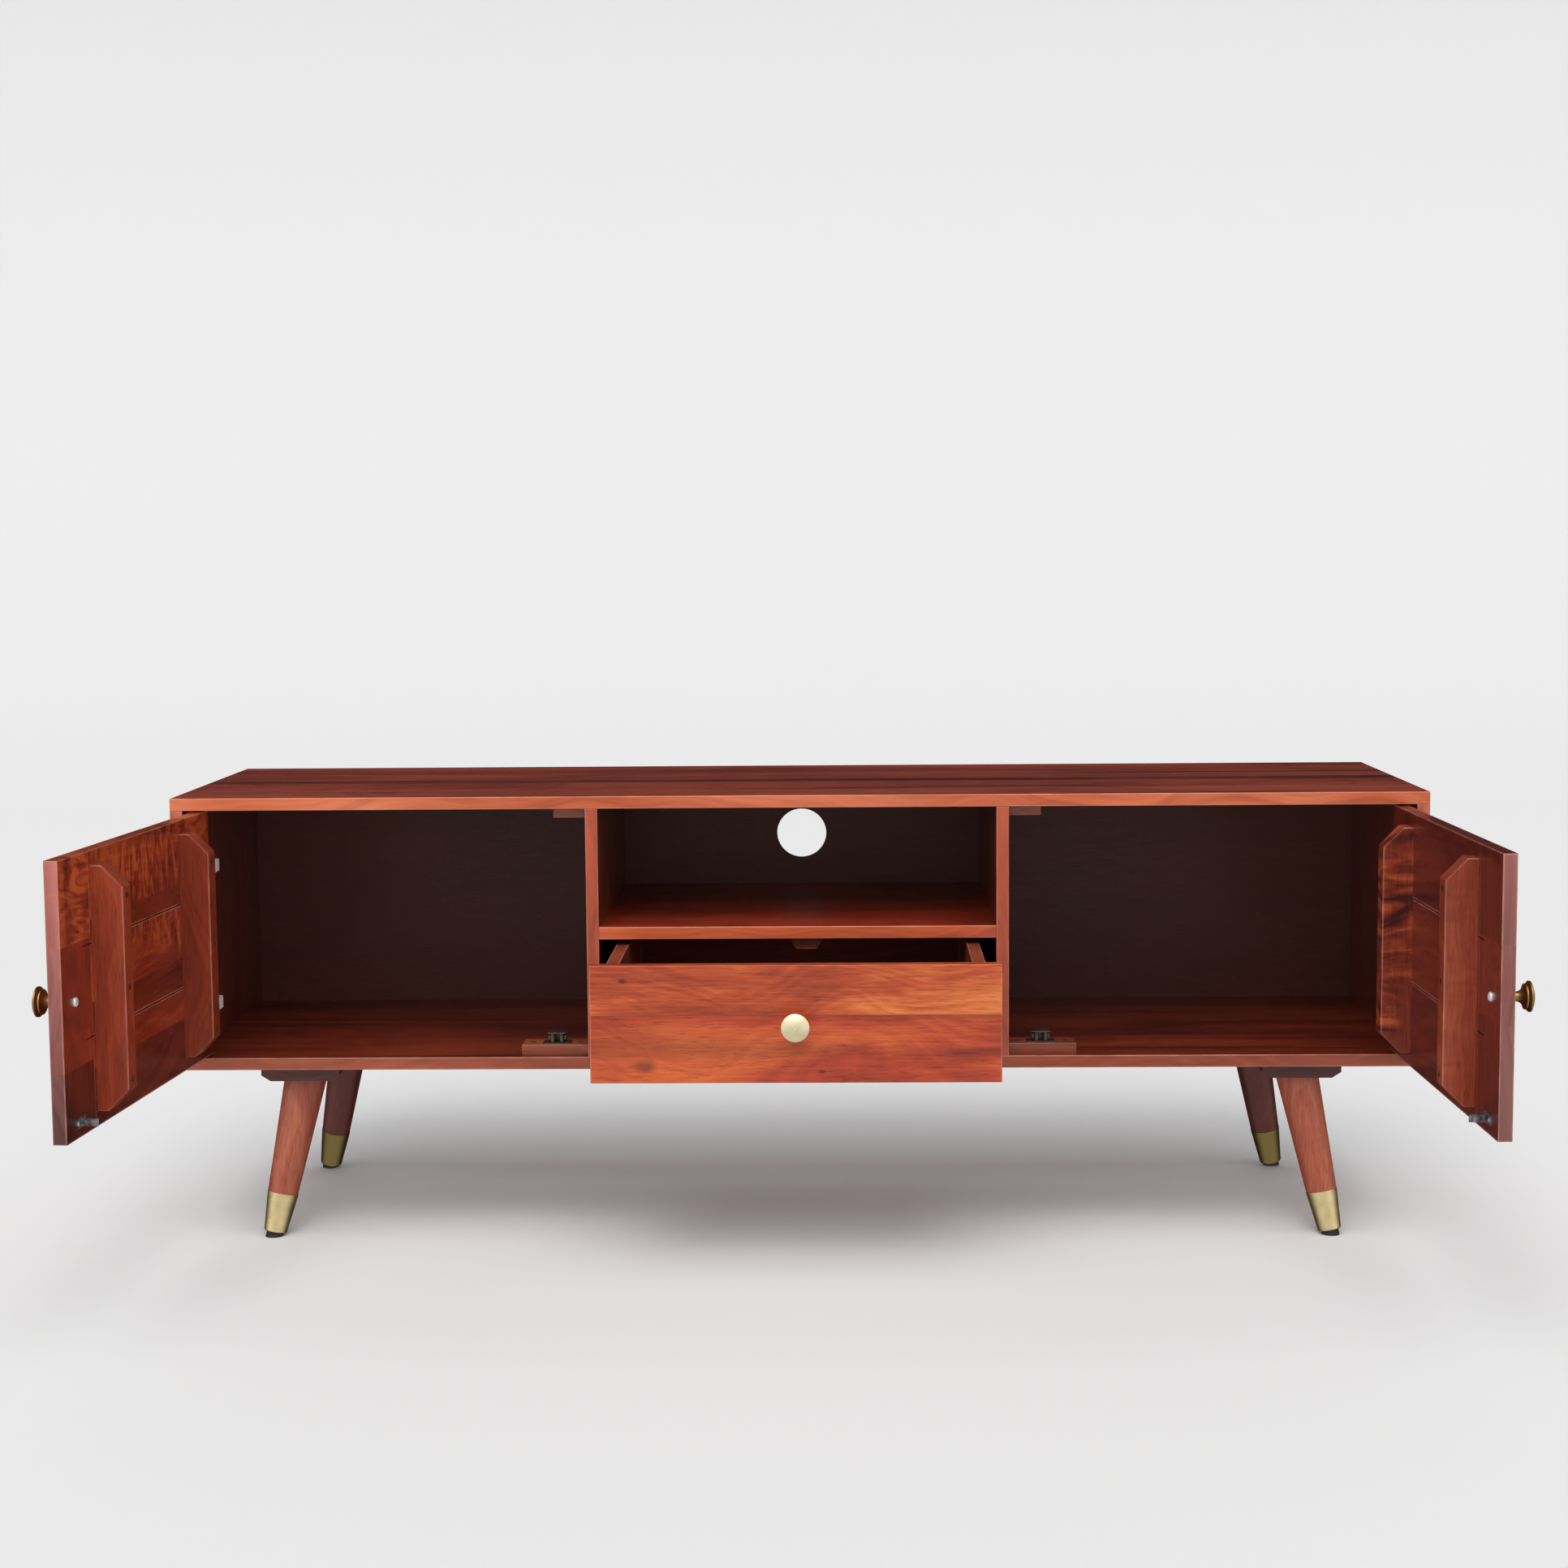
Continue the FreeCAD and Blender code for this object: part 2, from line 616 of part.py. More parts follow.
def knob_screw(x, y, z, grow=0.0):
    """Pan-head screw from the inner face of a board whose outer face is at y."""
    inner = V(x, y + board, z)
    shank = rod(inner, -BACKWARD, board + knob_screw_in_knob, knob_screw_d / 2 + grow)
    if grow:
        return shank
    head = softened(rod(inner, BACKWARD, knob_screw_head_t, knob_screw_head_d / 2), knob_screw_head_round,
                    lambda c: c.y > inner.y + arris)
    tip = inner.y + knob_screw_head_t
    cross = [box(x - dx, x + dx, tip - cross_depth, tip + cross_depth, z - dz, z + dz)
             for dx, dz in ((cross_length / 2, cross_w / 2), (cross_w / 2, cross_length / 2))]
    return drilled(shank.fuse(head), cross)


# ---- a door, made closed on the left ----
def door_place(from_hinge_edge):
    return -side_in + door_gap_hinge + from_hinge_edge


def cup_slot(z):
    x0, x1 = door_place(-nose_play), -hinge_x + nose_r + nose_play
    return box(x0, x1, front + nose_slot_floor, inside + 2 * cup_flange_t,
               z - nose_half_z - nose_play, z + nose_half_z + nose_play)


def cup_screws(grow=0.0):
    x = door_place(cup_centre + cup_screw_far)
    return [screw(V(x, inside + cup_flange_t, z + dz), -BACKWARD, cup_screw_length,
                  wood_screw_d, wood_screw_head_d, grow)
            for z in hinge_heights for dz in (-cup_screw_z, cup_screw_z)]


def hinge_cup(z):
    y = inside
    cup = rod(V(door_place(cup_centre), y, z), -BACKWARD, cup_depth - cup_play, cup_d / 2 - cup_play)
    half_z = cup_screw_z + cup_flange_end
    flange = box(door_place(cup_centre - cup_flange_near), door_place(cup_centre + cup_flange_far),
                 y, y + cup_flange_t, z - half_z, z + half_z)
    pin_room = pin_half + pin_end_play
    pin_hole = rod(V(-hinge_x, hinge_y, z - pin_room), UP, 2 * pin_room, pin_r + pin_run)
    return drilled(cup.fuse(flange), [cup_slot(z), pin_hole] + cup_screws(fit_gap))


def cup_pocket(z):
    return rod(V(door_place(cup_centre), inside, z), -BACKWARD, cup_depth, cup_d / 2).fuse(cup_slot(z))


def strike_x():
    return -catch_x


def strike_screws(grow=0.0):
    y = inside + strike_t
    return [screw(V(strike_x() + dx, y, spear_z), -BACKWARD, catch_screw_length,
                  catch_screw_d, catch_screw_head_d, grow) for dx in (-strike_screw_x, strike_screw_x)]


def strike():
    x, y = strike_x(), inside
    base = box(x - strike_half_x, x + strike_half_x, y, y + strike_t,
               spear_z - strike_half_z, spear_z + strike_half_z)
    neck_to = y + strike_t + strike_reach / 3
    barb_to = neck_to + strike_reach / 4
    z = spear_z - spear_half_z
    outline = [V(x - strike_neck, y, z), V(x - strike_neck, neck_to, z), V(x - strike_head, barb_to, z),
               V(x, y + strike_t + strike_reach, z), V(x + strike_head, barb_to, z),
               V(x + strike_neck, neck_to, z), V(x + strike_neck, y, z)]
    return drilled(base.fuse(prism(outline, UP * 2 * spear_half_z)), strike_screws(fit_gap))


def batten_centres():
    return [door_place(batten_from_hinge + batten_t / 2),
            door_place(door_w - batten_from_free - batten_t / 2)]


def board_heights():
    """(low, high) of the three level boards."""
    height = (door_high - door_low - 2 * seam) / 3
    return [(door_low + i * (height + seam), door_low + i * (height + seam) + height) for i in range(3)]


def batten_screws(x, grow=0.0):
    y = inside + batten_proud
    return [screw(V(x, y, (low + high) / 2), -BACKWARD, batten_proud + batten_screw_bite,
                  batten_screw_d, wood_screw_head_d, grow) for low, high in board_heights()]


def batten(x):
    y0, y1 = inside, inside + batten_proud
    low, high = door_low + batten_short, door_high - batten_short
    x0 = x - batten_t / 2
    outline = [V(x0, y0, low), V(x0, y0 + batten_land, low), V(x0, y1, low + batten_cut_z),
               V(x0, y1, high - batten_cut_z), V(x0, y0 + batten_land, high), V(x0, y0, high)]
    solid = prism(outline, V(batten_t, 0, 0))
    solid = softened(solid, batten_corner_r, lambda c: abs(c.x - x) < arris and c.y > y0 + batten_arris)
    solid = softened(solid, batten_arris, lambda c: c.y > y0 + batten_arris and abs(c.x - x) > arris)
    return drilled(solid, batten_screws(x, fit_gap))


def stile_grooves():
    """Grooves for the boards' tongues, in both stiles."""
    y0 = front + (board - tongue_t) / 2
    y1 = y0 + tongue_t
    reach = tongue + fit_gap
    return box(door_place(stile - reach), door_place(door_w - stile + reach), y0 - fit_gap, y1 + fit_gap,
               door_low - board, door_high + board)


def seam_ticks():
    x0 = door_place(door_w - stile)
    return [box(x0, x0 + seam_tick, inside - seam_tick_depth, inside + board, low - seam, low)
            for low, high in board_heights()[1:]]


def level_board(low, high):
    x0, x1 = door_place(stile), door_place(door_w - stile)
    y0 = front + (board - tongue_t) / 2
    body = box(x0, x1, front, inside, low, high)
    tongues = box(x0 - tongue, x1 + tongue, y0, y0 + tongue_t, low, high)
    tools = [tool for x in batten_centres() for tool in batten_screws(x, fit_gap)]
    return drilled(body.fuse(tongues), tools)


def door_nodes():
    knob_x = door_place(door_w - knob_from_free)
    parts = {}
    hinge_side = softened(box(door_place(0), door_place(stile), front, inside, door_low, door_high),
                          arris, lambda c: c.x < door_place(arris))
    pockets = [cup_pocket(z) for z in hinge_heights]
    parts["door_hinge_stile"] = drilled(hinge_side, pockets + cup_screws(fit_gap) + [stile_grooves()])
    free_side = softened(box(door_place(door_w - stile), door_place(door_w), front, inside,
                             door_low, door_high), arris, lambda c: c.x > door_place(door_w - arris))
    parts["door_free_stile"] = drilled(free_side, strike_screws(fit_gap) + seam_ticks() + [
        stile_grooves(), knob_screw(knob_x, front, door_knob_z, fit_gap)])
    for name, (low, high) in zip(("lower", "middle", "upper"), board_heights()):
        parts["door_board_" + name] = level_board(low, high)
    for name, x in zip(("hinge", "free"), batten_centres()):
        parts["door_batten_" + name] = batten(x)
    parts["door_knob"] = knob(knob_x, front, door_knob_z)
    parts["door_strike"] = strike()
    parts["door_hinge_cups"] = Part.makeCompound([hinge_cup(z) for z in hinge_heights])
    screws = [tool for x in batten_centres() for tool in batten_screws(x)]
    screws += cup_screws() + strike_screws() + [knob_screw(knob_x, front, door_knob_z)]
    parts["door_screws"] = Part.makeCompound(screws)
    return parts


def swung(shape, side, degrees):
    turned = shape.copy()
    turned.rotate(V(side * hinge_x, hinge_y, 0), UP, side * degrees)
    return turned


# ---- the drawer, made closed ----
def drawer():
    outer = div_in - guide_w - slide_gap
    inner = outer - board
    front_x = div_in - drawer_front_gap_x
    low = floor_z + drawer_front_gap_z
    split = low + drawer_lower_board_h
    high = low + drawer_front_h
    y0, y1 = inside, drawer_end
    side_low, side_high = floor_z + drawer_side_up, high - drawer_side_drop
    bottom_low = side_low + drawer_bottom_up
    bottom_high = bottom_low + drawer_bottom_t
    knob_z = (low + high) / 2
    levels = [floor_z + drawer_dowel_low, side_high - drawer_dowel_down]
    length = drawer_dowel_in_face + drawer_dowel_in_end
    pegs = []
    for side in (-1, 1):
        for z in levels:
            pegs.append((V(side * (outer - board / 2), y0 - drawer_dowel_in_face, z), BACKWARD, length))
            start = V(side * (inner + drawer_dowel_in_face), y1 - board / 2, z)
            pegs.append((start, V(-side, 0, 0), length))
    holes = dowels(pegs, fit_gap)
    groove = box(-inner - drawer_groove, inner + drawer_groove, y0 - drawer_groove, y1 + board,
                 bottom_low - fit_gap, bottom_high + fit_gap)
    knob_hole = knob_screw(0, front, knob_z, fit_gap)
    parts = {}
    lower = softened(box(-front_x, front_x, front, y0, low, split), arris,
                     lambda c: near_front(c) and c.z < split - arris)
    parts["drawer_front_lower"] = drilled(lower, holes + [groove, knob_hole])
    upper = softened(box(-front_x, front_x, front, y0, split, high), arris, lambda c: c.z > split + arris)
    parts["drawer_front_upper"] = drilled(upper, holes + [knob_hole])
    for name, side in (("left", -1), ("right", 1)):
        x0, x1 = sorted((side * inner, side * outer))
        parts["drawer_side_" + name] = drilled(box(x0, x1, y0, y1, side_low, side_high), holes + [groove])
    parts["drawer_back"] = drilled(box(-inner, inner, y1 - board, y1, bottom_high + fit_gap, side_high),
                                   holes)
    lip = drawer_groove - fit_gap
    parts["drawer_bottom"] = box(-inner - lip, inner + lip, y0 - lip, y1, bottom_low, bottom_high)
    parts["drawer_knob"] = knob(0, front, knob_z)
    parts["drawer_knob_screw"] = knob_screw(0, front, knob_z)
    parts["drawer_dowels"] = Part.makeCompound(dowels(pegs))
    return parts


# ---- every node ----
def all_nodes():
    nodes = carcass()
    nodes["back_panel_nails"] = Part.makeCompound(nails())
    nodes["carcass_dowels"] = Part.makeCompound(dowels(carcass_dowel_places()))
    nodes["leg_blocks"] = Part.makeCompound([leg_block(leg) for leg in legs])
    for leg in legs:
        nodes["leg_" + leg.name] = leg_wood(leg)
    nodes["leg_ferrules"] = Part.makeCompound([ferrule(leg) for leg in legs])
    nodes["leg_glides"] = Part.makeCompound([glide(leg) for leg in legs])
    fixings = [solid for leg in legs for solid in block_screws(leg) + [leg_bolt(leg)]]
    nodes["leg_fixings"] = Part.makeCompound(fixings)
    nodes["catch_blocks"] = Part.makeCompound(catch_blocks())
    nodes["door_stops"] = Part.makeCompound(door_stops())
    nodes["drawer_guides"] = Part.makeCompound(drawer_guides())
    nodes["drawer_stop_block"] = drawer_stop_block()
    nodes["catch_housings"] = Part.makeCompound([catch_housing(side) for side in (-1, 1)])
    left_arms = [hinge_arm(z) for z in hinge_heights]
    nodes["hinge_arms"] = Part.makeCompound(left_arms + [mirrored(arm) for arm in left_arms])
    small = stop_block_screws()
    for name, side in (("left", -1), ("right", 1)):
        for place, hand in (("outer", side), ("inner", -side)):
            nodes[name + "_catch_jaw_" + place] = catch_jaw(side, hand)
        small += catch_block_screws(side) + door_stop_screws(side) + guide_screws(side)
        small += wing_screws(side) + catch_screws(side)
    nodes["cabinet_screws"] = Part.makeCompound(small)
    for name, shape in door_nodes().items():
        nodes["left_" + name] = swung(shape, -1, left_door_open)
        nodes["right_" + name] = swung(mirrored(shape), 1, right_door_open)
    for name, shape in drawer().items():
        shape.translate(V(0, -drawer_pull, 0))
        nodes[name] = shape
    return nodes


os.makedirs("parts", exist_ok=True)
for name, shape in all_nodes().items():
    shape.exportStep("parts/" + name + ".step")

print("height", top_z, "door", door_w, "x", door_high - door_low)
print("door axis x", hinge_x, "y", hinge_y, "catch x", catch_x, "jaw pivot y", inside + jaw_pivot_at)
print("drawer in", -drawer_pull, "drawer out", drawer_travel - drawer_pull)
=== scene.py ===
# %% [markdown]
# # A low media cabinet in stained and lacquered hardwood
# The cabinet is a box of solid boards on four splayed legs. It has two doors, an open shelf bay and a
# drawer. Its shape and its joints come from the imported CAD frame, which stays as it is. This lesson
# gives each board its own stain and grain, makes the metal look like metal, and sets up the studio.

import math

import bmesh
import bpy
from mathutils import Matrix, Vector


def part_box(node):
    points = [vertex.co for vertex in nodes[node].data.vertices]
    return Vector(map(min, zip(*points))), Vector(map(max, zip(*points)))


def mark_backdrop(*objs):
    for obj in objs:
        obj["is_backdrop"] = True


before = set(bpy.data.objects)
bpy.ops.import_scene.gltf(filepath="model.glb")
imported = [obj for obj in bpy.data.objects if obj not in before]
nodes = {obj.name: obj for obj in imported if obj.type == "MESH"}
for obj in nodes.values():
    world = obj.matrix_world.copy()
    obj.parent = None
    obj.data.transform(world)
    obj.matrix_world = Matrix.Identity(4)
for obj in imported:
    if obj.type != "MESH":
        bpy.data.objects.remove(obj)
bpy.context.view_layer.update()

# %% [markdown]
# ## The camera
# It stands a little above the top board, about three metres away, and looks slightly down. It is set
# first, so every later choice can be judged from here. Its three axes are worked out from a heading, a
# tilt and a small roll, which is easier to follow than a row of Euler angles.

# %% Camera
camera_place = Vector((0.05424, -3.19174, 0.84444))
heading, tilt, roll = -0.02295, -0.09627, -0.00812
forward = Vector((math.sin(heading) * math.cos(tilt), math.cos(heading) * math.cos(tilt), math.sin(tilt)))
level_right = Vector((math.cos(heading), -math.sin(heading), 0))
level_up = level_right.cross(forward)
right = math.cos(roll) * level_right + math.sin(roll) * level_up
up = math.cos(roll) * level_up - math.sin(roll) * level_right

camera = bpy.data.objects.new("studio_camera", bpy.data.cameras.new("studio_camera"))
bpy.context.scene.collection.objects.link(camera)
camera.data.sensor_width = 36
camera.data.lens = 58.08
camera.matrix_world = Matrix.Translation(camera_place) @ Matrix((right, up, -forward)).transposed().to_4x4()
bpy.context.scene.camera = camera
print("camera at", tuple(round(v, 3) for v in camera_place), "lens", camera.data.lens, "mm")

# %% [markdown]
# ## The studio
# The cabinet stands on pale paper under broad soft lights. The small helpers come first, because every
# material is a tree of nodes, and adding a node with its settings and links in one call keeps it readable.

# %% Colours and nodes
def linear(code):
    """An sRGB hex colour as linear RGBA."""
    parts = [int(code[i:i + 2], 16) / 255 for i in (1, 3, 5)]
    return tuple(c / 12.92 if c <= 0.04045 else ((c + 0.055) / 1.055) ** 2.4 for c in parts) + (1.0,)


def add(tree, kind, inputs=None, **settings):
    """Adds one node. Inputs are socket: value, or socket: an output to link."""
    node = tree.nodes.new(kind)
    for key, value in settings.items():
        setattr(node, key, value)
    for socket, value in (inputs or {}).items():
        if isinstance(value, bpy.types.NodeSocket):
            tree.links.new(value, node.inputs[socket])
        else:
            node.inputs[socket].default_value = value
    return node


def maths(tree, kind, a, b):
    return add(tree, "ShaderNodeMath", {0: a, 1: b}, operation=kind).outputs[0]


def ranged(tree, value, low, high, to_low=0.0, to_high=1.0):
    return add(tree, "ShaderNodeMapRange", {"Value": value, "From Min": low, "From Max": high,
                                            "To Min": to_low, "To Max": to_high}).outputs["Result"]


def blended(tree, share, first, second):
    return add(tree, "ShaderNodeMix", {0: share, 6: first, 7: second}, data_type="RGBA").outputs[2]


def new_material(name):
    """An empty material and its node tree."""
    material = bpy.data.materials.new(name)
    material.use_nodes = True
    material.node_tree.nodes.clear()
    return material, material.node_tree


def finish_material(tree, shader):
    add(tree, "ShaderNodeOutputMaterial", {"Surface": shader.outputs[0]})


def dress(material, *names):
    """Gives whole CAD nodes this finish."""
    for name in names:
        slots = nodes[name].data.materials
        for index in range(len(slots)):
            slots[index] = material


# %% [markdown]
# ## The paper sweep
# It is a floor that curves up into a wall, so no horizon shows. A sweep is one profile pushed sideways, so
# a few edges are extruded and the bend is bevelled.

# %% The paper sweep
SWEEP_HALF_WIDTH = 14
SWEEP_FRONT = -9
SWEEP_WALL = 5                  # how far back the wall stands
SWEEP_TOP = 9
SWEEP_BEND = 3.5                # radius of the curve from floor to wall


def paper_sweep():
    """The backdrop. Its paper darkens with distance, which evens out the brighter light on its bend."""
    mesh = bmesh.new()
    start = mesh.verts.new((-SWEEP_HALF_WIDTH, SWEEP_FRONT, 0))
    corner = mesh.verts.new((-SWEEP_HALF_WIDTH, SWEEP_WALL, 0))
    end = mesh.verts.new((-SWEEP_HALF_WIDTH, SWEEP_WALL, SWEEP_TOP))
    edges = [mesh.edges.new((start, corner)), mesh.edges.new((corner, end))]
    grown = bmesh.ops.extrude_edge_only(mesh, edges=edges)
    moved = [v for v in grown["geom"] if isinstance(v, bmesh.types.BMVert)]
    bmesh.ops.translate(mesh, vec=(2 * SWEEP_HALF_WIDTH, 0, 0), verts=moved)
    bend = [e for e in mesh.edges
            if all(abs(v.co.y - SWEEP_WALL) < 0.01 and abs(v.co.z) < 0.01 for v in e.verts)]
    bmesh.ops.bevel(mesh, geom=bend, offset=SWEEP_BEND, offset_type="OFFSET", affect="EDGES", segments=24,
                    profile=0.5, material=-1)
    for face in mesh.faces:
        face.smooth = True
    data = bpy.data.meshes.new("paper_sweep")
    mesh.to_mesh(data)
    mesh.free()
    sweep = bpy.data.objects.new("paper_sweep", data)
    bpy.context.scene.collection.objects.link(sweep)
    material, tree = new_material("matt background paper")
    place = add(tree, "ShaderNodeTexCoord").outputs["Object"]
    back = add(tree, "ShaderNodeSeparateXYZ", {"Vector": place}).outputs["Y"]
    colour = blended(tree, ranged(tree, back, 0.2, 2.7), linear("#EEEEEE"), linear("#D8D8D8"))
    finish_material(tree, add(tree, "ShaderNodeBsdfDiffuse", {"Color": colour}))
    data.materials.append(material)
    sweep.visible_glossy = False
    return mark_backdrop(sweep)


paper_sweep()

# %% [markdown]
# ## The lights
# They are a broad soft key from the front and above, a second one almost overhead, and a weak one from
# each side, under a sky that is pale in front and dark behind. Large sources give a lacquered board wide
# quiet reflections instead of hard spots.

# %% Lights
def sun(name, strength, soft, toward):
    """A far light of one even strength, as wide as soft degrees across."""
    light = bpy.data.lights.new(name, "SUN")
    light.energy = strength
    light.angle = math.radians(soft)
    holder = bpy.data.objects.new(name, light)
    holder.rotation_euler = Vector(toward).to_track_quat("-Z", "Y").to_euler()
    bpy.context.scene.collection.objects.link(holder)


sun("key_front_above", 1.04, 40, (0.05, 0.66, -0.75))
sun("overhead", 0.66, 48, (0.0, 0.30, -0.95))
sun("fill_from_left", 0.32, 60, (0.75, 0.60, -0.28))
sun("fill_from_right", 0.32, 60, (-0.75, 0.60, -0.28))


def half_dark_world():
    """A sky that is pale in front of the cabinet and dark behind it, so the lacquered top stays deep."""
    world = bpy.data.worlds.new("pale_studio")
    bpy.context.scene.world = world
    world.use_nodes = True
    tree = world.node_tree
    where = add(tree, "ShaderNodeTexCoord").outputs["Generated"]
    back = add(tree, "ShaderNodeSeparateXYZ", {"Vector": where}).outputs["Y"]
    strength = ranged(tree, back, -0.3, 0.35, 0.68, 0.03)
    sky = tree.nodes["Background"]
    sky.inputs["Color"].default_value = linear("#F4F4F4")
    tree.links.new(strength, sky.inputs["Strength"])


half_dark_world()
bpy.context.scene.view_settings.view_transform = "Standard"

# %% [markdown]
# ## Stained hardwood under clear lacquer
# Each board is solid wood stained a red brown and sprayed with a clear gloss lacquer. A picture pasted
# on the faces would break at every corner. A solid pattern runs through the board as real grain does,
# so its ends and edges agree with its faces. The pattern is built in the board's own directions: along
# the grain, across it, and through its thickness. From coarse to fine it has staves glued edge to edge,
# cloudy stain, growth rings, dark heartwood streaks, curl or flame, and fibres. Growth rings are about
# 8 mm apart. Real fibres are a few tenths of a millimetre wide and would not show from three metres, so
# they are drawn 2.5 mm apart.

# %% Wood helpers
ORDER = {"x": (0, 1, 2), "y": (1, 0, 2), "z": (2, 0, 1)}       # along the grain first, then the two across
RINGS_PER_METRE = 130.0
FIBRES_PER_METRE = 400
EDGE_SKIN = 0.0016              # depth in which an edge band's colour fades in: paler wood on the front edges, a painted reflection on the doors' free edges
ARRIS_SHEEN_FROM, ARRIS_SHEEN_FULL = 0.0017, 0.0006     # distances from an arris where the pale wear and painted highlight start and are full
# The last of these colours, a pale pink, goes on the arrises: partly real wear and partly a painted
# highlight of lacquer catching the light.
HEARTWOOD, PORE, KNOT, ARRIS_WEAR_AND_HIGHLIGHT = (linear(code) for code in ("#250B0A", "#200A08", "#2A0C0A", "#E8A48C"))


def straight_box(name, turn):
    """A node's box after turning it by turn degrees about Z, in the way its material does."""
    spin = Matrix.Rotation(math.radians(turn), 3, "Z")
    points = [spin @ v.co for v in nodes[name].data.vertices]
    return (Vector(min(p[i] for p in points) for i in range(3)),
            Vector(max(p[i] for p in points) for i in range(3)))


def turned(tree, place, degrees):
    """A place turned about Z, which brings an open door's boards square to the axes."""
    return add(tree, "ShaderNodeMapping", {"Vector": place,
                                           "Rotation": (0, 0, math.radians(degrees))}).outputs[0]


def tone_by_place(tree, value, low, high, steps):
    """A stepped grey: from each share of the way from low to high on, that stave's tone."""
    share = ranged(tree, value, low, high)
    ramp = add(tree, "ShaderNodeValToRGB", {"Fac": share})
    ramp.color_ramp.interpolation = "CONSTANT"
    stops = ramp.color_ramp.elements
    while len(stops) < len(steps):
        stops.new(0.5)
    for stop, (position, tone) in zip(stops, steps):
        stop.position = position
        stop.color = (tone, tone, tone, 1)
    return ramp.outputs["Color"]


def near_arris(tree, place, low, high):
    """Distance to the nearest edge of the box: the middle one of the three distances to its faces."""
    from_low = add(tree, "ShaderNodeVectorMath", {0: place, 1: low}, operation="SUBTRACT").outputs[0]
    from_high = add(tree, "ShaderNodeVectorMath", {0: high, 1: place}, operation="SUBTRACT").outputs[0]
    inward = add(tree, "ShaderNodeVectorMath", {0: from_low, 1: from_high}, operation="MINIMUM").outputs[0]
    x, y, z = add(tree, "ShaderNodeSeparateXYZ", {"Vector": inward}).outputs
    return maths(tree, "MAXIMUM", maths(tree, "MINIMUM", x, y),
                 maths(tree, "MINIMUM", maths(tree, "MAXIMUM", x, y), z))
